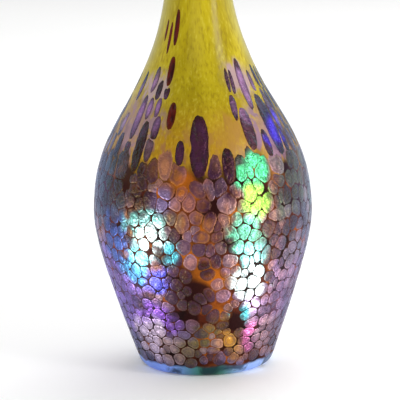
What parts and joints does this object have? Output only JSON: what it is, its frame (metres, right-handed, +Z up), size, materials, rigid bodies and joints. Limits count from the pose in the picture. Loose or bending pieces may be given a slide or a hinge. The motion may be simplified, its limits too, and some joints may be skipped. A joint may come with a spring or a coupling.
{
  "type": "bottle vase",
  "caption": "Hand-blown bottle vase in cased art glass: a tapering foot, round belly and slender neck, covered in iridescent scales that stretch into drops on the shoulder.",
  "frame": {"origin": "centre of the foot, on the surface that the vase stands on", "axes": "+Z up along the vase's axis of turning, from the foot to the mouth; -Y faces the viewer of the front, +X is the viewer's right"},
  "size_m": [0.1111, 0.1109, 0.29],
  "materials": {
    "opal_glass": "fire-polished opal yellow, the inner layer",
    "amber_glass": "fire-polished honey amber, streaked along the neck",
    "blue_lustre": "iridescent, blue to violet",
    "violet_lustre": "iridescent, violet to pink",
    "pearl_lustre": "iridescent, pearl to cyan",
    "green_lustre": "iridescent, green to teal",
    "purple_glass": "glossy purple with a violet lustre",
    "maroon_glass": "glossy dark maroon"
  },
  "bodies": {
    "root": {"opal_lining": "opal_glass", "amber_casing": "amber_glass", "heel_scales": "blue_lustre", "lower_scales": "violet_lustre", "middle_scales": "pearl_lustre", "upper_scales": "green_lustre", "shoulder_drops": "purple_glass", "neck_drops": "maroon_glass"}
  },
  "joints": []
}
